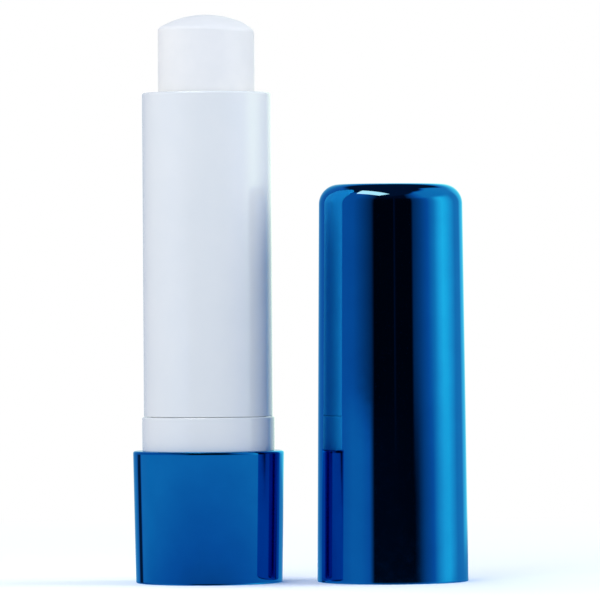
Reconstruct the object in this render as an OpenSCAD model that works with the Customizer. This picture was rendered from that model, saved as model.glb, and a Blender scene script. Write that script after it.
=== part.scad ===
// Lip balm stick with a turning base and a pull-off cap.
// The stick stands on its base with the balm wound out, and the cap stands beside it, mouth down.
// The origin is the centre of the base's foot, and +Z runs up the stick. All sizes are in millimetres.

/* [Balm] */
// Diameter of the balm
balm_d = 12.2; // [10:0.1:16]
// How far the balm stands out of the tube as it is wound here
balm_out = 9.9; // [2:0.1:20]
// How far the balm's tip is below the rim when it is wound down
balm_sink = 0.6; // [0.3:0.1:2]
// Radius of the balm's crown
crown_r = 11.5; // [9:0.5:20]
// Radius of the balm's shoulder
shoulder_r = 0.6; // [0.4:0.1:2.5]

/* [Base] */
// Height of the coloured base shell
base_h = 16.7; // [13.5:0.1:24]
// Thickness of the base shell's floor
base_floor = 1.2; // [0.8:0.1:2]
// Width of the step from the collar out to the edge of the base
base_step = 1.2; // [0.8:0.025:2]
// How much the base tapers in from its top to its foot, on the radius
foot_in = 0.3; // [0:0.05:0.6]
// Round on the shell's top outer edge
base_edge = 0.15; // [0.1:0.05:0.6]
// Round on the shell's foot edge
foot_edge = 0.2; // [0.1:0.05:0.6]

/* [Collar] */
// Height of the collar that shows above the base shell
collar_h = 4.3; // [3:0.1:8]
// Width of the step from the tube out to the collar
collar_step = 0.225; // [0.1:0.025:0.6]
// How much smaller in radius the insert is inside the base shell
skirt_step = 0.225; // [0.175:0.025:0.3]
// Thickness of the insert's floor
insert_floor = 1.5; // [1:0.1:2.5]
// Round on the collar's top edge
collar_edge = 0.2; // [0.05:0.05:0.4]

/* [Tube] */
// Length of the tube above the seam
tube_h = 41.0; // [30:0.5:60]
// Wall of the tube
tube_wall = 0.87; // [0.6:0.01:1.4]
// Thickness of the lip that closes the tube's top inwards
lip_t = 1.0; // [0.6:0.1:2]
// Round on the rim's outer edge
rim_edge = 0.25; // [0.1:0.05:0.6]
// Round on the rim's inner edge
mouth_edge = 0.25; // [0.1:0.05:0.4]

/* [Guide tube] */
// Wall of the guide tube
guide_wall = 1.0; // [0.9:0.05:1.4]
// Number of straight grooves in the bore
groove_count = 4; // [2:1:6]
// Width of a groove
groove_w = 1.4; // [1.2:0.1:2]
// Depth of a groove
groove_depth = 0.5; // [0.4:0.05:0.55]
// Height of the guide tube's foot above the insert's floor
guide_lift = 7.0; // [5:0.5:8]
// How far the snap bead stands out from the guide tube
bead_out = 0.3; // [0.2:0.05:0.4]
// Height of the snap bead
bead_h = 1.0; // [0.8:0.1:1.5]
// Height of the snap bead above the guide tube's foot
bead_lift = 4.2; // [3:0.1:5]

/* [Spindle] */
// Outer diameter of the thread
thread_d = 4.4; // [4:0.1:5]
// Diameter of the spindle's core
core_d = 3.2; // [2.8:0.1:3.6]
// Rise of the carrier in one turn
lead = 6.0; // [4:0.5:8]
// Number of thread starts
starts = 2; // [1:1:3]
// Share of one start's pitch that the thread fills at its root
root_share = 0.44; // [0.36:0.02:0.5]
// Share of one start's pitch that the thread fills at its crest
crest_share = 0.28; // [0.2:0.02:0.34]
// Diameter of the flange under the thread
flange_d = 8.0; // [7:0.5:10]
// Thickness of the flange
flange_t = 1.2; // [0.8:0.1:2]
// Diameter of the splined foot, without its splines
shank_d = 4.4; // [4:0.1:5]
// Length of the splined foot
shank_h = 5.8; // [4:0.1:7]
// Number of splines on the foot
spline_count = 4; // [3:1:6]
// How far a spline stands out from the foot
spline_out = 0.5; // [0.3:0.1:0.8]
// Width of a spline
spline_w = 0.9; // [0.6:0.1:1.2]
// Wall of the insert's socket round the splines
socket_wall = 1.0; // [0.8:0.1:1.5]
// Length of thread left above the carrier's nut when it is fully up
thread_spare = 0.2; // [0:0.1:1]

/* [Carrier] */
// Height of the carrier's cup
carrier_h = 8.5; // [7:0.5:12]
// Wall of the cup
carrier_wall = 0.6; // [0.5:0.05:0.9]
// Floor of the cup
carrier_floor = 1.0; // [0.8:0.1:1.6]
// Wall of the nut round the thread
nut_wall = 1.0; // [0.8:0.1:1.5]
// Height of the nut
nut_h = 4.0; // [3:0.5:6]
// Width of a guide fin on the cup
fin_w = 1.1; // [0.9:0.1:1.6]

/* [Cap] */
// Room inside the closed cap, from the tube's rim to the cap's end wall
cap_room = 3.8; // [1:0.1:10]
// Thickness of the cap's end wall
cap_end = 1.2; // [0.8:0.1:2]
// How much the cap tapers in from its mouth to its top, on the radius
cap_in = 0.5; // [0:0.05:0.6]
// Round on the cap's shoulder
cap_shoulder = 2.5; // [1:0.1:4]
// Round on the edge of the cap's mouth
cap_edge = 0.15; // [0.1:0.05:0.4]
// Space between the stick's base and the cap that stands beside it
cap_space = 4.1; // [2:0.1:40]

/* [Fits] */
// Radial gap between two pieces that are pressed or bonded together
seat_gap = 0.03; // [0.01:0.01:0.05]
// Radial gap of the guide tube turning in the insert
turn_gap = 0.1; // [0.02:0.01:0.1]
// Open seam between the collar and the tube
seam_gap = 0.05; // [0.05:0.05:0.3]
// Gap along the axis under the guide tube and beside its snap bead
bead_gap = 0.15; // [0.1:0.05:0.3]
// Gap round the balm, the carrier and its fins as they slide
slide_gap = 0.15; // [0.1:0.05:0.2]
// Radial gap between the thread and the nut
thread_gap = 0.15; // [0.1:0.05:0.2]
// Gap along the axis between the thread's flank and the nut's
flank_gap = 0.12; // [0.08:0.02:0.2]
// Radial gap between the collar and the cap's bore
cap_gap = 0.03; // [0.02:0.01:0.05]
// Rise left between the carrier and the tube's lip when it is fully up
stop_gap = 0.3; // [0.2:0.1:1]
// Height of the carrier above the spindle's flange when it is fully down
rest_gap = 1.0; // [0.5:0.1:2]

/* [Hidden] */
$fn = 96;
// overlap of joined shapes, how far a cut runs past a face, and the angle of one slice of thread
fine = 0.01;
over = 1;
slice_a = 15;
blue = [0.02, 0.33, 0.64];
white = [0.93, 0.95, 0.97];
natural = [0.86, 0.88, 0.88];
wax = [0.92, 0.94, 0.96];

// heights up the stick
insert_z = base_floor;
floor_z = insert_z + insert_floor;
collar_z = base_h;
seam_z = collar_z + collar_h;
tube_z = seam_z + seam_gap;
rim_z = seam_z + tube_h;
lip_z = rim_z - lip_t;
cap_h = collar_h + tube_h + cap_room + cap_end;
ledge_z = floor_z + guide_lift - bead_gap;
guide_z = floor_z + guide_lift;
bead_z = guide_z + bead_lift;
socket_top_z = floor_z + shank_h;
flange_z = socket_top_z;
thread_z = flange_z + flange_t;

// radii, from the balm outwards
balm_r = balm_d / 2;
bore_r = balm_r + slide_gap;
groove_r = bore_r + groove_depth;
guide_r = bore_r + guide_wall;
bearing_r = guide_r + turn_gap;
tube_bore_r = guide_r + seat_gap;
tube_r = tube_bore_r + tube_wall;
collar_r = tube_r + collar_step;
skirt_r = collar_r - skirt_step;
shell_bore_r = skirt_r + seat_gap;
base_r = collar_r + base_step;
cap_bore_r = collar_r + cap_gap;
cap_top_r = base_r - cap_in;
cap_x = 2 * base_r + cap_space;
spline_r = shank_d / 2 + spline_out;
socket_r = spline_r + socket_wall;
nut_r = thread_d / 2 + thread_gap + nut_wall;
balm_bore_r = thread_d / 2 + thread_gap;

// the carrier's travel: wound down, as it stands here, and fully up
balm_top_z = rim_z + balm_out;
wound_out = balm_out + balm_sink;
high_carrier_z = lip_z - stop_gap - carrier_h;
low_carrier_z = thread_z + rest_gap;
carrier_z = low_carrier_z + wound_out;
spindle_top_z = high_carrier_z + nut_h + thread_spare;
cup_top_z = carrier_z + carrier_h;

// half outline of a turned piece: the side goes from radius rb at z = 0 to rt at z = h,
// with a round of radius fb at its lower edge and ft at its upper edge
module tapered_profile(rb, rt, h, fb, ft) {
    a = atan((rb - rt) / h);
    n = [cos(a), sin(a)];
    low_c = [(rb * n[0] - fb - fb * n[1]) / n[0], fb];
    high_c = [(rb * n[0] - ft - (h - ft) * n[1]) / n[0], h - ft];
    union() {
        polygon([[0, 0], [low_c[0], 0], low_c, low_c + fb * n,
                 high_c + ft * n, high_c, [high_c[0], h], [0, h]]);
        intersection() {
            union() {
                translate(low_c) circle(r = fb);
                translate(high_c) circle(r = ft);
            }
            square([max(rb, rt) + over, h]);
        }
    }
}

// section of the thread across its axis: a core with one lobe for each start
function lobe_half(share) = 180 * share / starts;
function thread_points(core, crest, root_a, crest_a) = [
    for (s = [0 : starts - 1])
        let (a0 = 360 * s / starts, open = 360 / starts - 2 * root_a)
            each [
                for (p = [[-root_a, core], [-crest_a, crest], [0, crest], [crest_a, crest],
                          [root_a, core], [root_a + open / 4, core],
                          [root_a + open / 2, core], [root_a + 3 * open / 4, core]])
                    p[1] * [cos(a0 + p[0]), sin(a0 + p[0])]
            ]
];

// left-hand thread from height z up, in phase with every other stretch of the same thread
module thread(z, h, radial, flank) {
    extra = 360 * flank / lead;
    turn = 360 * h / lead;
    points = thread_points(core_d / 2 + radial, thread_d / 2 + radial,
                           lobe_half(root_share) + extra, lobe_half(crest_share) + extra);
    translate([0, 0, z])
        rotate([0, 0, -360 * (z - thread_z) / lead])
            linear_extrude(height = h, twist = turn, slices = ceil(turn / slice_a), segments = len(points))
                polygon(points);
}

// splined section shared by the spindle's foot and its socket
module spline_section(gap) {
    circle(r = shank_d / 2 + gap);
    for (i = [0 : spline_count - 1])
        rotate([0, 0, 360 * i / spline_count])
            translate([0, -spline_w / 2 - gap])
                square([spline_r + gap, spline_w + 2 * gap]);
}

// bars that stand out from an axis: the guide fins, and the grooves that they run in
module radial_bars(inner, reach, w, z, h) {
    for (i = [0 : groove_count - 1])
        rotate([0, 0, 360 * i / groove_count])
            translate([inner, -w / 2, z])
                cube([reach - inner, w, h]);
}

// coloured outer cup of the base
module base_shell() {
    color(blue)
        difference() {
            rotate_extrude()
                tapered_profile(base_r - foot_in, base_r, base_h, foot_edge, base_edge);
            translate([0, 0, base_floor])
                cylinder(r = shell_bore_r, h = base_h);
        }
}

// white insert: the collar above, the bearing inside it, and the spindle's socket
module base_insert() {
    groove_h = bead_h + 2 * bead_gap;
    color(white)
        difference() {
            union() {
                translate([0, 0, insert_z])
                    cylinder(r = skirt_r, h = collar_z - insert_z + fine);
                translate([0, 0, collar_z])
                    rotate_extrude()
                        tapered_profile(collar_r, collar_r, collar_h, fine, collar_edge);
            }
            translate([0, 0, ledge_z])
                cylinder(r = bearing_r, h = seam_z);
            translate([0, 0, bead_z - bead_gap])
                cylinder(r = bearing_r + bead_out, h = groove_h);
            difference() {
                translate([0, 0, floor_z])
                    cylinder(r = bore_r, h = seam_z);
                translate([0, 0, insert_z])
                    cylinder(r = socket_r, h = socket_top_z - insert_z);
            }
            translate([0, 0, floor_z])
                linear_extrude(height = shank_h + fine)
                    spline_section(seat_gap);
        }
}

// threaded spindle with a splined foot
module spindle() {
    color(natural)
        union() {
            translate([0, 0, floor_z])
                linear_extrude(height = shank_h)
                    spline_section(0);
            translate([0, 0, flange_z])
                cylinder(d = flange_d, h = flange_t);
            thread(thread_z - flange_t / 2, spindle_top_z - thread_z + flange_t / 2, 0, 0);
        }
}

// inner sleeve that turns in the insert and keeps the carrier from turning
module guide_tube() {
    color(white)
        difference() {
            rotate_extrude()
                polygon([
                    [bore_r, guide_z],
                    [guide_r, guide_z],
                    [guide_r, bead_z],
                    [guide_r + bead_out, bead_z + bead_h / 3],
                    [guide_r + bead_out, bead_z + 2 * bead_h / 3],
                    [guide_r, bead_z + bead_h],
                    [guide_r, lip_z],
                    [bore_r, lip_z]
                ]);
            radial_bars(0, groove_r, groove_w, guide_z - fine, lip_z - guide_z + 2 * fine);
        }
}

// outer tube, closed inwards at its rim
module tube() {
    round_x = bore_r + mouth_edge;
    round_z = rim_z - mouth_edge;
    color(white)
        difference() {
            translate([0, 0, tube_z])
                rotate_extrude()
                    tapered_profile(tube_r, tube_r, rim_z - tube_z, fine, rim_edge);
            translate([0, 0, tube_z - fine])
                cylinder(r = tube_bore_r, h = lip_z - tube_z + fine);
            rotate_extrude()
                difference() {
                    polygon([
                        [0, lip_z - over],
                        [bore_r, lip_z - over],
                        [bore_r, round_z],
                        [round_x, round_z],
                        [round_x, rim_z + over],
                        [0, rim_z + over]
                    ]);
                    translate([round_x, round_z]) circle(r = mouth_edge);
                }
        }
}

// cup that holds the balm, with the nut in its floor and fins that run in the guide tube
module carrier() {
    color(natural)
        difference() {
            union() {
                difference() {
                    translate([0, 0, carrier_z])
                        cylinder(r = balm_r, h = carrier_h);
                    translate([0, 0, carrier_z + carrier_floor])
                        cylinder(r = balm_r - carrier_wall, h = carrier_h);
                }
                translate([0, 0, carrier_z])
                    cylinder(r = nut_r, h = nut_h);
                radial_bars(balm_r - carrier_wall / 2, groove_r - slide_gap, fin_w, carrier_z, carrier_h);
            }
            thread(carrier_z - over, nut_h + 2 * over, thread_gap, flank_gap);
        }
}

// the balm, cast into the carrier's cup and round the spindle
module balm() {
    plug_r = balm_r - carrier_wall - seat_gap;
    round_x = balm_r - shoulder_r;
    crown_z = balm_top_z - crown_r;
    round_z = crown_z + sqrt(pow(crown_r - shoulder_r, 2) - pow(round_x, 2));
    reach = crown_r / (crown_r - shoulder_r);
    color(wax)
        difference() {
            union() {
                translate([0, 0, carrier_z + carrier_floor + seat_gap])
                    cylinder(r = plug_r, h = carrier_h - carrier_floor);
                rotate_extrude()
                    union() {
                        polygon([[0, cup_top_z + seat_gap], [balm_r, cup_top_z + seat_gap],
                                 [balm_r, round_z], [round_x, round_z], [0, crown_z]]);
                        translate([round_x, round_z]) circle(r = shoulder_r);
                        intersection() {
                            translate([0, crown_z]) circle(r = crown_r, $fn = 4 * $fn);
                            polygon([[0, crown_z], [round_x * reach, crown_z + (round_z - crown_z) * reach],
                                     [round_x * reach, balm_top_z + over], [0, balm_top_z + over]]);
                        }
                    }
            }
            translate([0, 0, carrier_z])
                cylinder(r = nut_r + seat_gap, h = nut_h + seat_gap);
            translate([0, 0, carrier_z])
                cylinder(r = balm_bore_r, h = spindle_top_z + wound_out + slide_gap - carrier_z);
        }
}

// pull-off cap, standing beside the stick with its mouth down
module cap() {
    bore_h = cap_h - cap_end;
    bore_round = max(fine, cap_shoulder - (cap_top_r - cap_bore_r));
    color(blue)
        translate([cap_x, 0, 0])
            difference() {
                rotate_extrude()
                    tapered_profile(base_r, cap_top_r, cap_h, cap_edge, cap_shoulder);
                translate([0, 0, -fine])
                    rotate_extrude()
                        tapered_profile(cap_bore_r, cap_bore_r, bore_h + fine, fine, bore_round);
            }
}

base_shell();
base_insert();
spindle();
guide_tube();
tube();
carrier();
balm();
cap();
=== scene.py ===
import math

import bmesh
import bpy
from mathutils import Matrix, Vector


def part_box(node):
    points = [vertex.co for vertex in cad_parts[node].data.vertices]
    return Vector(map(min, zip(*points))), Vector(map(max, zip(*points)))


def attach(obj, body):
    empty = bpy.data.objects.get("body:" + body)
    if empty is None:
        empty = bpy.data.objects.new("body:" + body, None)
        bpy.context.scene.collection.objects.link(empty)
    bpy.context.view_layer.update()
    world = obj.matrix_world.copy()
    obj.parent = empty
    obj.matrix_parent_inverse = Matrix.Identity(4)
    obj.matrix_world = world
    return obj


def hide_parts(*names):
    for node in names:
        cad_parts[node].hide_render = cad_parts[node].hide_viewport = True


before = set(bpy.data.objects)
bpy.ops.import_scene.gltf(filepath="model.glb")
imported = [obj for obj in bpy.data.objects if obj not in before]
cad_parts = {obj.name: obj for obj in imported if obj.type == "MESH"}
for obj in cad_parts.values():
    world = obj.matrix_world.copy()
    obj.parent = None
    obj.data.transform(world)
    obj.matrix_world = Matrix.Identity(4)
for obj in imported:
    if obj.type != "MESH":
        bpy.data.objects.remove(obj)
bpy.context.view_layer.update()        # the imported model, in metres, standing on z = 0
print("frame:", ", ".join(sorted(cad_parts)))

mm = 0.001
shellLow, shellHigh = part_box("base_shell")
insertLow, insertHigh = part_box("base_insert")
tubeLow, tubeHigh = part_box("tube")
balmLow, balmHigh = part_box("balm")
capLow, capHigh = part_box("cap")
capAxis = (capLow.x + capHigh.x) / 2        # the stick's own axis is x = 0


# turning: a piece is an outline of corners (radius, height, round), spun about an upright axis

usualTurn = {
    "steps": 192, "roundCuts": 8,
    "rows": 1.6 * mm,        # height of the faces on a long wall
    "guard": 0.06 * mm,        # width of the narrow row beside each round
    "shortWall": 0.36 * mm,        # walls up to this length stay one face
    "merge": 0.0005 * mm,        # points nearer than this become one
}


def turned(corners, axisX=0.0, turn=usualTurn, closed=True):
    bm = bmesh.new()
    points = [bm.verts.new((axisX + r, 0, z)) for r, z, _ in corners]
    links = list(zip(points, points[1:]))
    if closed:
        links.append((points[-1], points[0]))
    for a, b in links:
        bm.edges.new((a, b))
    for point, (_, _, size) in zip(points, corners):        # rounds on the outline, before it is spun
        if size:
            bmesh.ops.bevel(bm, geom=[point], offset=size, offset_type="OFFSET", affect="VERTICES",
                            segments=turn["roundCuts"], profile=0.5, material=-1)
    for edge in [e for e in bm.edges if e.calc_length() > turn["shortWall"]]:
        # the narrow rows keep the long wall's shading straight
        for end in list(edge.verts):
            bmesh.utils.edge_split(edge, end, turn["guard"] / edge.calc_length())
        cuts = int(edge.calc_length() / turn["rows"])
        if cuts:
            bmesh.ops.subdivide_edges(bm, edges=[edge], cuts=cuts)
    bmesh.ops.spin(bm, geom=bm.verts[:] + bm.edges[:], cent=(axisX, 0, 0), axis=(0, 0, 1), dvec=(0, 0, 0),
                   angle=2 * math.pi, steps=turn["steps"], use_merge=True, use_duplicate=False)
    bmesh.ops.remove_doubles(bm, verts=bm.verts[:], dist=turn["merge"])
    bmesh.ops.recalc_face_normals(bm, faces=bm.faces[:])
    return bm


def asPiece(bm, name, body, replaced, material):
    mesh = bpy.data.meshes.new(name)
    bm.to_mesh(mesh)
    bm.free()
    for face in mesh.polygons:
        face.use_smooth = True
    piece = bpy.data.objects.new(name, mesh)
    bpy.context.scene.collection.objects.link(piece)
    mesh.materials.append(material)
    weighted = piece.modifiers.new("broad faces lead", "WEIGHTED_NORMAL")
    weighted.weight = 90
    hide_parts(replaced)
    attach(piece, body)
    return piece


# nodes of a material, the world or a lamp are made by kind, with their inputs set by name or number

class Nodes:
    def __init__(self, owner):
        owner.use_nodes = True
        self.owner = owner
        self.tree = owner.node_tree
        self.tree.nodes.clear()

    def add(self, kind, inputs=None, **settings):
        node = self.tree.nodes.new(kind)
        for key, value in settings.items():
            setattr(node, key, value)
        for key, value in (inputs or {}).items():
            if isinstance(value, bpy.types.NodeSocket):
                self.tree.links.new(value, node.inputs[key])
            else:
                node.inputs[key].default_value = value
        return node

    def math(self, operation, a, b=0.0):
        return self.add("ShaderNodeMath", {0: a, 1: b}, operation=operation).outputs[0]

    def spread(self, value, low, high, outLow, outHigh):
        return self.add("ShaderNodeMapRange", {"Value": value, "From Min": low, "From Max": high,
                                               "To Min": outLow, "To Max": outHigh}).outputs[0]

    def soften(self, value, low, high):        # 0 at low, 1 at high, with eased ends
        return self.add("ShaderNodeMapRange", {"Value": value, "From Min": low, "From Max": high},
                        interpolation_type="SMOOTHSTEP").outputs[0]

    def between(self, share, low, high):
        return self.add("ShaderNodeMix", {0: share, 2: low, 3: high}).outputs[0]

    def betweenColours(self, share, low, high):
        return self.add("ShaderNodeMix", {0: share, 6: low, 7: high}, data_type="RGBA").outputs[2]

    def ramp(self, value, stops):
        node = self.add("ShaderNodeValToRGB", {0: value})
        ramp = node.color_ramp
        while len(ramp.elements) < len(stops):
            ramp.elements.new(0.5)
        for element, (place, colour) in zip(ramp.elements, stops):
            element.position = place
            element.color = (*colour, 1)
        return node.outputs["Color"]

    def around(self, turn, stops, most=1.0):        # stops are (direction in degrees, value)
        return self.ramp(turn, [((a + 180) / 360, (v / most,) * 3) for a, v in stops])

    def noise(self, place, scale, detail=2.0, roughness=0.5):
        return self.add("ShaderNodeTexNoise", {"Vector": place, "Scale": scale, "Detail": detail,
                                               "Roughness": roughness}).outputs[0]

    def tinted(self, cloud, dark, pale):        # most of a noise's values lie from 0.3 to 0.7
        return self.ramp(cloud, [(0.3, dark), (0.7, pale)])

    def smudged(self, place, scale, roughness):
        return self.spread(self.noise(place, scale, 4.0, 0.6), 0.3, 0.75, *roughness)

    def relief(self, height, depth):
        return self.add("ShaderNodeBump", {"Height": height, "Strength": 1.0, "Distance": depth}).outputs[0]


def blueCoat():
    coat = {
        "deep": (0.002, 0.238, 0.62), "light": (0.003, 0.262, 0.655),        # thick and thin lacquer
        "roughness": (0.02, 0.045), "cloud": 260, "smudge": 900, "wave": 330, "waveDepth": 0.0009 * mm,
        "edgeTint": (0.22, 0.82, 1.0, 1), "gloss": 0.13, "glossRoughness": 0.03,
    }
    n = Nodes(bpy.data.materials.new("blue metallised coat"))
    place = n.add("ShaderNodeTexCoord").outputs["Object"]
    colour = n.tinted(n.noise(place, coat["cloud"], 3.0), coat["deep"], coat["light"])
    roughness = n.smudged(place, coat["smudge"], coat["roughness"])
    bump = n.relief(n.noise(place, coat["wave"], 1.0), coat["waveDepth"])
    shader = n.add("ShaderNodeBsdfPrincipled", {
        "Base Color": colour, "Metallic": 1.0, "Roughness": roughness, "Specular Tint": coat["edgeTint"],
        "Coat Weight": coat["gloss"], "Coat Roughness": coat["glossRoughness"], "Coat IOR": 1.5,
        "Normal": bump,
    })
    n.add("ShaderNodeOutputMaterial", {"Surface": shader.outputs[0]})
    return n.owner


def whitePlastic():
    plastic = {
        "cool": (0.77, 0.775, 0.75), "clean": (0.795, 0.793, 0.762), "shine": 0.85,
        "roughness": (0.03, 0.06), "cloud": 180, "smudge": 700, "grain": 6500, "grainDepth": 0.0006 * mm,
    }
    n = Nodes(bpy.data.materials.new("white gloss plastic"))
    place = n.add("ShaderNodeTexCoord").outputs["Object"]
    colour = n.tinted(n.noise(place, plastic["cloud"], 3.0), plastic["cool"], plastic["clean"])
    roughness = n.smudged(place, plastic["smudge"], plastic["roughness"])
    bump = n.relief(n.noise(place, plastic["grain"]), plastic["grainDepth"])
    shader = n.add("ShaderNodeBsdfPrincipled", {
        "Base Color": colour, "Roughness": roughness, "IOR": 1.5, "Specular IOR Level": plastic["shine"],
        "Normal": bump,
    })
    n.add("ShaderNodeOutputMaterial", {"Surface": shader.outputs[0]})
    return n.owner


def balmWax():
    wax = {
        "dense": (0.80, 0.78, 0.74), "thin": (0.83, 0.805, 0.76), "shine": 0.3, "roughness": (0.42, 0.55),
        "glow": 0.15, "glowDepth": 0.6 * mm,        # light under the surface
        "cloud": 420, "smear": 500, "grain": 1500, "grainDepth": 0.0007 * mm,
    }
    n = Nodes(bpy.data.materials.new("balm wax"))
    place = n.add("ShaderNodeTexCoord").outputs["Object"]
    colour = n.tinted(n.noise(place, wax["cloud"], 3.0), wax["dense"], wax["thin"])
    roughness = n.spread(n.noise(place, wax["smear"], 3.0), 0.3, 0.7, *wax["roughness"])
    bump = n.relief(n.noise(place, wax["grain"], 3.0, 0.6), wax["grainDepth"])
    shader = n.add("ShaderNodeBsdfPrincipled", {
        "Base Color": colour, "Roughness": roughness, "IOR": 1.44, "Specular IOR Level": wax["shine"],
        "Subsurface Weight": wax["glow"], "Subsurface Scale": wax["glowDepth"],
        "Subsurface Radius": (1.0, 1.0, 1.0), "Normal": bump,
    })
    n.add("ShaderNodeOutputMaterial", {"Surface": shader.outputs[0]})
    return n.owner


def innerPlastic():
    plain = {"grey": (0.66, 0.69, 0.70), "pale": (0.74, 0.76, 0.77), "roughness": (0.32, 0.48), "cloud": 500}
    n = Nodes(bpy.data.materials.new("natural plastic"))
    place = n.add("ShaderNodeTexCoord").outputs["Object"]
    cloud = n.noise(place, plain["cloud"], 3.0)
    colour = n.tinted(cloud, plain["grey"], plain["pale"])
    roughness = n.spread(cloud, 0.3, 0.7, *plain["roughness"])
    shader = n.add("ShaderNodeBsdfPrincipled", {"Base Color": colour, "Roughness": roughness, "IOR": 1.49})
    n.add("ShaderNodeOutputMaterial", {"Surface": shader.outputs[0]})
    return n.owner


blue, white, wax, natural = blueCoat(), whitePlastic(), balmWax(), innerPlastic()


def makeBaseShell():
    shell = {"footIn": 0.3 * mm, "topRound": 0.3 * mm, "footRound": 0.2 * mm, "boreRadius": 8.18 * mm,
             "floor": 1.2 * mm, "lipRound": 0.1 * mm}
    top, foot = shellHigh.z, shellLow.z
    corners = [
        (0, foot, 0),
        (shellHigh.x - shell["footIn"], foot, shell["footRound"]),
        (shellHigh.x, top, shell["topRound"]),
        (shell["boreRadius"], top, shell["lipRound"]),
        (shell["boreRadius"], foot + shell["floor"], 0),
        (0, foot + shell["floor"], 0),
    ]
    bm = turned(corners, closed=False)
    return asPiece(bm, "baseShell", "base", "base_shell", blue)


def makeBaseInsert():
    insert = {
        "skirtRadius": 8.15 * mm, "skirtRound": 0.2 * mm, "collarFoot": shellHigh.z, "collarRound": 0.2 * mm,
        "bearingRadius": 7.35 * mm, "innerRound": 0.15 * mm, "ledge": 9.55 * mm, "wellRadius": 6.25 * mm,
        "floor": 2.7 * mm, "bossRadius": 3.7 * mm, "bossTop": 8.5 * mm, "socketRadius": 2.75 * mm,
    }
    top = insertHigh.z
    corners = [
        (0, insertLow.z, 0),
        (insert["skirtRadius"], insertLow.z, insert["skirtRound"]),
        (insert["skirtRadius"], insert["collarFoot"], 0),
        (insertHigh.x, insert["collarFoot"], 0),
        (insertHigh.x, top, insert["collarRound"]),
        (insert["bearingRadius"], top, insert["innerRound"]),
        (insert["bearingRadius"], insert["ledge"], 0),
        (insert["wellRadius"], insert["ledge"], 0),
        (insert["wellRadius"], insert["floor"], 0),
        (insert["bossRadius"], insert["floor"], 0),
        (insert["bossRadius"], insert["bossTop"], 0),
        (insert["socketRadius"], insert["bossTop"], 0),
        (insert["socketRadius"], insert["floor"], 0),
        (0, insert["floor"], 0),
    ]
    bm = turned(corners, closed=False)
    return asPiece(bm, "baseInsert", "base", "base_insert", white)


def makeTube():
    tube = {"rimRound": 0.25 * mm, "mouthRound": 0.25 * mm, "footRound": 0.07 * mm, "boreRound": 0.05 * mm,
            "bore": 7.28 * mm, "mouth": 6.25 * mm, "lip": 1.0 * mm}
    top, foot, outer = tubeHigh.z, tubeLow.z, tubeHigh.x
    corners = [
        (tube["bore"], foot, tube["boreRound"]),
        (outer, foot, tube["footRound"]),
        (outer, top, tube["rimRound"]),
        (tube["mouth"], top, tube["mouthRound"]),
        (tube["mouth"], top - tube["lip"], 0),
        (tube["bore"], top - tube["lip"], 0),
    ]
    bm = turned(corners)
    return asPiece(bm, "tubeSleeve", "barrel", "tube", white)


def makeBalm():
    balm = {
        "crown": 11.5 * mm, "shoulder": 0.6 * mm, "plugRadius": 5.47 * mm, "cupTop": 29.73 * mm,
        "nutRadius": 3.38 * mm, "nutTop": 25.23 * mm, "boreRadius": 2.35 * mm, "boreTop": 67.05 * mm,
        "arcPoints": 14,
        "lean": 0.4,        # degrees
        "leanHeight": 3 * mm, "leanEase": 1 * mm,        # it starts so far under the tip, and eases in
        "worn": 0.3 * mm, "wornFrom": 0.7,        # depth of the wear, and its start as a share of the radius
    }
    outer, tip = balmHigh.x, balmHigh.z
    corners = [
        (0, balm["boreTop"], 0),
        (balm["boreRadius"], balm["boreTop"], 0),
        (balm["boreRadius"], balm["nutTop"], 0),
        (balm["nutRadius"], balm["nutTop"], 0),
        (balm["nutRadius"], balmLow.z, 0),
        (balm["plugRadius"], balmLow.z, 0),
        (balm["plugRadius"], balm["cupTop"], 0),
        (outer, balm["cupTop"], 0),
    ]
    inset = outer - balm["shoulder"]
    reach = balm["crown"] - balm["shoulder"]
    shoulderZ = tip - balm["crown"] + math.sqrt(reach ** 2 - inset ** 2)
    crownEdge = inset * balm["crown"] / reach
    steepest = math.acos(inset / reach)
    for i in range(balm["arcPoints"]):        # shoulder, from the side up to the crown
        a = steepest * i / (balm["arcPoints"] - 1)
        r = inset + balm["shoulder"] * math.cos(a)
        corners.append((r, shoulderZ + balm["shoulder"] * math.sin(a), 0))
    for i in range(1, balm["arcPoints"] + 1):        # crown, in to the axis
        r = crownEdge * (1 - i / balm["arcPoints"])
        corners.append((r, tip - balm["crown"] + math.sqrt(balm["crown"] ** 2 - r ** 2), 0))
    bm = turned(corners, closed=False)
    slope = math.tan(math.radians(balm["lean"]))
    leanFoot = tip - balm["leanHeight"]
    for vert in bm.verts:        # the tip leans a little, and its right edge is worn rounder
        if vert.co.z > leanFoot and vert.co.z > balm["boreTop"]:
            share = min(1, (vert.co.z - leanFoot) / balm["leanEase"])
            away = math.hypot(vert.co.x, vert.co.y) / outer
            edge = max(0, (away - balm["wornFrom"]) / (1 - balm["wornFrom"])) ** 2
            right = max(0, vert.co.x / outer)
            vert.co.z -= (vert.co.x * slope + balm["worn"] * right * edge) * share
    return asPiece(bm, "balmStick", "carriage", "balm", wax)


def makeCap():
    cap = {"mouthRound": 0.15 * mm, "boreFootRound": 0.12 * mm, "topIn": 0.5 * mm, "shoulder": 2.5 * mm,
           "boreRadius": 8.405 * mm, "boreRound": 1.83 * mm, "end": 1.2 * mm}
    outer, top, foot = capHigh.x - capAxis, capHigh.z, capLow.z
    corners = [
        (0, top, 0),
        (outer - cap["topIn"], top, cap["shoulder"]),
        (outer, foot, cap["mouthRound"]),
        (cap["boreRadius"], foot, cap["boreFootRound"]),
        (cap["boreRadius"], top - cap["end"], cap["boreRound"]),
        (0, top - cap["end"], 0),
    ]
    bm = turned(corners, axisX=capAxis, turn={**usualTurn, "steps": 256, "roundCuts": 24}, closed=False)
    return asPiece(bm, "pullCap", "cap", "cap", blue)


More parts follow.
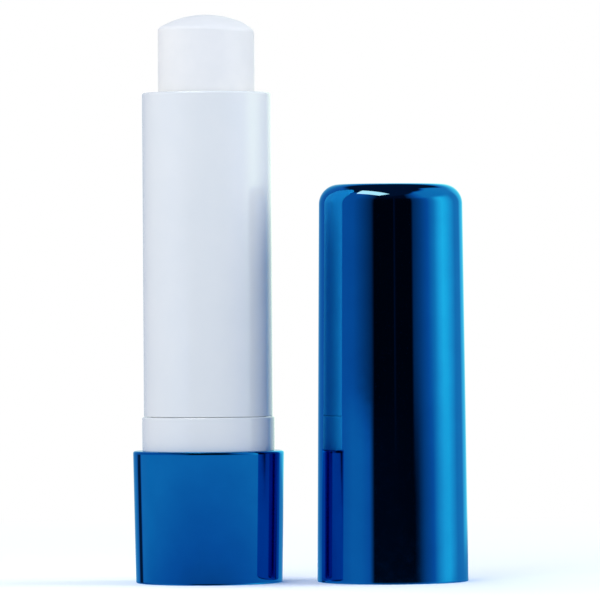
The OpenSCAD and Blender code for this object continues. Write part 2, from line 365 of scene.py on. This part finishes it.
def dressInnerNodes():
    for nodeName, material in (("spindle", natural), ("carrier", natural), ("guide_tube", white)):
        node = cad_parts[nodeName]
        node.data.materials.clear()
        node.data.materials.append(material)


baseShell = makeBaseShell()
baseInsert = makeBaseInsert()
tubeSleeve = makeTube()
balmStick = makeBalm()
pullCap = makeCap()
dressInnerNodes()
for piece in (baseShell, baseInsert, tubeSleeve, balmStick, pullCap):
    print("made:", piece.name, len(piece.data.polygons), "faces")


# studio: a pale floor, a world that is a room in mirrors and soft light on matt pieces, and three lamps

def makeFloor():
    floor = {
        "size": 6.0, "bounce": 0.64, "pale": 1.05,        # how pale for light and for the camera
        "fadeFrom": 0.05, "fadeTo": 0.22,        # beyond these distances it is plain white
    }
    bm = bmesh.new()
    bmesh.ops.create_grid(bm, x_segments=1, y_segments=1, size=floor["size"] / 2)
    mesh = bpy.data.meshes.new("floor")
    bm.to_mesh(mesh)
    bm.free()
    plane = bpy.data.objects.new("floor", mesh)
    bpy.context.scene.collection.objects.link(plane)
    plane.visible_glossy = False
    n = Nodes(bpy.data.materials.new("pale floor"))
    place = n.add("ShaderNodeTexCoord").outputs["Object"]
    away = n.add("ShaderNodeVectorMath", {0: place}, operation="LENGTH").outputs["Value"]
    fade = n.spread(away, floor["fadeFrom"], floor["fadeTo"], 0.0, 1.0)
    inView = n.add("ShaderNodeLightPath").outputs["Is Camera Ray"]
    tone = n.spread(inView, 0.0, 1.0, floor["bounce"], floor["pale"])
    grey = n.add("ShaderNodeCombineXYZ", {0: tone, 1: tone, 2: tone}).outputs[0]
    matt = n.add("ShaderNodeBsdfDiffuse", {"Color": grey}).outputs[0]
    plain = n.add("ShaderNodeEmission", {"Color": (1, 1, 1, 1), "Strength": 1.0}).outputs[0]
    mix = n.add("ShaderNodeMixShader", {0: n.math("MULTIPLY", fade, inView), 1: matt, 2: plain})
    n.add("ShaderNodeOutputMaterial", {"Surface": mix.outputs[0]})
    mesh.materials.append(n.owner)


def mirroredRoom(n, turn, rise):
    # brightness by direction round the pieces, in degrees: 0 is towards the viewer, + to the right.
    # A grey wall stands left, a dark room in front, a softbox right and a pale backdrop behind.
    room = {
        "most": 2.0,        # the brightness that a ramp holds as 1
        "wall": [
            (-180, 0.8), (-170, 0.55), (-160, 0.45), (-152, 0.34), (-134, 0.25), (-78, 0.27), (-63, 0.25),
            (-49, 0.165), (-33, 0.07), (-28, 0.003), (3, 0.003), (4.5, 0.02), (6, 0.003), (32, 0.003),
            (35, 0.08), (46, 0.15), (60, 0.28), (72, 0.66), (82, 1.35), (90, 1.7), (98, 1.5), (110, 1.05),
            (122, 0.6), (138, 0.55), (146, 1.2), (180, 1.5),
        ],
        "wallFoot": [        # below the horizon
            (-180, 0.8), (-170, 0.55), (-160, 0.45), (-152, 0.34), (-134, 0.26), (-95, 0.28), (-80, 0.31),
            (-65, 0.39), (-50, 0.38), (-36, 0.27), (-29, 0.006), (34, 0.004), (40, 0.03), (51, 0.16),
            (66, 0.29), (78, 0.9), (88, 1.3), (98, 1.4), (108, 1.0), (119, 0.58), (138, 0.55), (146, 1.1),
            (180, 1.4),
        ],
        # half the degrees that the change at the horizon takes
        "footSoft": [(-180, 0.25), (-33, 0.25), (20, 0.9), (180, 0.9)],
        "high": [
            (-180, 0.4), (-137, 0.28), (-60, 0.25), (-36, 0.1), (-25, 0.01), (25, 0.01), (40, 0.2),
            (60, 0.55), (120, 0.66), (155, 0.6), (180, 0.4),
        ],
        "highEdge": (20, 34),
        "brow": [        # degrees up where the dark ceiling starts
            (-180, 38), (-160, 38), (-138, 48), (-60, 54), (-36, 46), (0, 40), (36, 50), (60, 60), (125, 62),
            (140, 50), (150, 38), (180, 36),
        ],
        "browSoft": 4, "ceiling": 0.02,
        "table": [
            (-180, 0.6), (-150, 0.45), (-142, 0.35), (-138, 0.03), (-129, 0.03), (-125, 0.5), (180, 0.5),
        ],
        "tableEdge": (-2.3, -1.8),
        "tableNear": (-4.8, -3.3, 0.4, 1.0),        # the table darkens as it comes near
        # well below the horizon the room's bands come back, so a piece looked down on is still a mirror
        "low": [
            (-180, 0.55), (-160, 0.5), (-142, 0.22), (-120, 0.22), (-95, 0.6), (-80, 0.55), (-50, 0.3),
            (-33, 0.16), (-26, 0.01), (24, 0.01), (36, 0.12), (60, 0.3), (76, 0.8), (90, 1.5), (104, 1.1),
            (125, 0.4), (150, 0.45), (180, 0.55),
        ],
        "lowEdge": (-13, -6),
        # dim light is bluer and bright light greener, as a camera shows a tinted mirror
        "tone": [
            (0.0, (0, 0, 0)), (0.14, (0.20, 0.269, 0.50)), (0.25, (0.38, 0.48, 0.633)),
            (0.6, (0.93, 1.15, 1.017)), (1.0, (1.5, 1.92, 1.356)),
        ],
    }
    wall, wallFoot, high, table, low = (n.around(turn, room[band], room["most"])
                                        for band in ("wall", "wallFoot", "high", "table", "low"))
    aboveFoot = n.math("DIVIDE", rise, n.around(turn, room["footSoft"]))
    level = n.between(n.soften(aboveFoot, -1, 1), wallFoot, wall)
    level = n.between(n.soften(rise, *room["highEdge"]), level, high)
    brow = n.math("MULTIPLY", n.around(turn, room["brow"], 90), 90.0)
    aboveBrow = n.math("SUBTRACT", rise, brow)
    inCeiling = n.soften(aboveBrow, -room["browSoft"], room["browSoft"])
    level = n.between(inCeiling, level, room["ceiling"] / room["most"])
    table = n.math("MULTIPLY", table, n.spread(rise, *room["tableNear"]))
    table = n.between(n.soften(rise, *room["lowEdge"]), low, table)
    level = n.between(n.soften(rise, *room["tableEdge"]), table, level)
    return n.ramp(level, room["tone"])


def softLight(n, turn, z):
    # what falls on the matt pieces, by the same directions: a softbox stands to the right
    light = {
        "most": 4.0,        # the brightness that a ramp holds as 1
        "side": [
            (-180, 1.3), (-150, 1.8), (-110, 1.25), (-60, 1.03), (-25, 0.64), (5, 0.42), (30, 0.26),
            (62, 0.25), (72, 3.4), (110, 3.4), (120, 0.2), (160, 0.2), (180, 0.8),
        ],
        "above": 0.7, "aboveEdge": (0.6, 0.9),        # the edge is a share of the way up to straight above
        "tone": [
            (0.0, (0, 0, 0)), (0.1, (0.23, 0.42, 0.78)), (0.25, (0.98, 1.0, 1.04)), (1.0, (4.0, 4.04, 4.1)),
        ],
    }
    side = n.around(turn, light["side"], light["most"])
    level = n.between(n.soften(z, *light["aboveEdge"]), side, light["above"] / light["most"])
    return n.ramp(level, light["tone"])


def makeWorld():
    world = bpy.data.worlds.new("studio")
    bpy.context.scene.world = world
    n = Nodes(world)
    x, y, z = n.add("ShaderNodeSeparateXYZ", {0: n.add("ShaderNodeTexCoord").outputs["Generated"]}).outputs
    turn = n.math("DIVIDE", n.math("ARCTAN2", x, n.math("MULTIPLY", y, -1.0)), 2 * math.pi)
    turn = n.math("ADD", turn, 0.5)
    rise = n.math("MULTIPLY", n.math("ARCSINE", z), 180 / math.pi)
    mirrored = mirroredRoom(n, turn, rise)
    soft = softLight(n, turn, z)
    path = n.add("ShaderNodeLightPath").outputs
    # a mirror shows the room; a mirror that lights a matt surface passes on the soft light instead
    asMirror = n.math("MULTIPLY", path["Is Glossy Ray"], n.math("LESS_THAN", path["Diffuse Depth"], 0.5))
    light = n.betweenColours(asMirror, soft, mirrored)
    seen = n.betweenColours(path["Is Camera Ray"], light, (1, 1, 1, 1))
    shader = n.add("ShaderNodeBackground", {"Color": seen, "Strength": 1.0})
    n.add("ShaderNodeOutputWorld", {"Surface": shader.outputs[0]})


def addPanel(name, panel):
    data = bpy.data.lights.new(name, "AREA")
    data.shape = "RECTANGLE"
    data.size, data.size_y = panel["size"]
    data.energy = math.pi * data.size * data.size_y        # so a strength of 1 is a brightness of 1
    lamp = bpy.data.objects.new(name, data)
    lamp.location = panel["place"]
    bpy.context.scene.collection.objects.link(lamp)
    lamp.visible_camera = False
    return lamp


def addHighlight(name, panel, glow, lit):        # a panel that is seen only as its image in the lit pieces
    lamp = addPanel(name, panel)
    lamp.rotation_euler.z = math.radians(panel["turn"])
    lamp.visible_diffuse = False
    lamp.light_linking.receiver_collection = bpy.data.collections.new(name + " lights")
    for piece in lit:
        lamp.light_linking.receiver_collection.objects.link(piece)
    n = Nodes(lamp.data)
    # dark to light that a matt surface scattered first, so the panel throws no glints on the white
    direct = n.math("LESS_THAN", n.add("ShaderNodeLightPath").outputs["Diffuse Depth"], 0.5)
    emission = n.add("ShaderNodeEmission", {"Color": glow, "Strength": direct})
    n.add("ShaderNodeOutputLight", {"Surface": emission.outputs[0]})


def makeLamps():
    overhead = {
        "size": (0.27, 0.13), "place": (-0.114, -0.146, 0.347), "turn": -58.7,
        "whiteGlow": (8, 8, 8, 1),
        "blueGlow": (48, 3.24, 1.53, 1),        # the coat swallows red, so a warm panel comes out pale
    }
    front = {"size": (0.10, 0.10), "place": (-0.05, -0.14, 0.115), "aim": (0, 0, 0.045), "brightness": 3.4}
    addHighlight("panel over the stick", overhead, overhead["whiteGlow"], (tubeSleeve, balmStick, baseInsert))
    addHighlight("panel over the cap", overhead, overhead["blueGlow"], (pullCap,))
    lamp = addPanel("front panel", front)        # fills the front from a little above, mirrored nowhere
    lamp.data.energy *= front["brightness"]
    towards = Vector(front["aim"]) - Vector(front["place"])
    lamp.rotation_euler = towards.to_track_quat("-Z", "Y").to_euler()
    lamp.visible_glossy = False


def makeCamera():
    view = {"place": (11.7 * mm, -770 * mm, 35.7 * mm), "lens": 364.7, "sensor": 36, "roll": -0.36,
            "clip": (0.05, 20)}
    data = bpy.data.cameras.new("camera")
    data.lens = view["lens"]
    data.sensor_width = view["sensor"]
    data.clip_start, data.clip_end = view["clip"]
    camera = bpy.data.objects.new("camera", data)
    level = Matrix.Rotation(math.radians(90), 4, "X") @ Matrix.Rotation(math.radians(view["roll"]), 4, "Z")
    camera.matrix_world = Matrix.Translation(view["place"]) @ level
    bpy.context.scene.collection.objects.link(camera)
    bpy.context.scene.camera = camera


makeFloor()
makeWorld()
makeLamps()
makeCamera()
bpy.context.scene.view_settings.view_transform = "Standard"
print("studio ready")
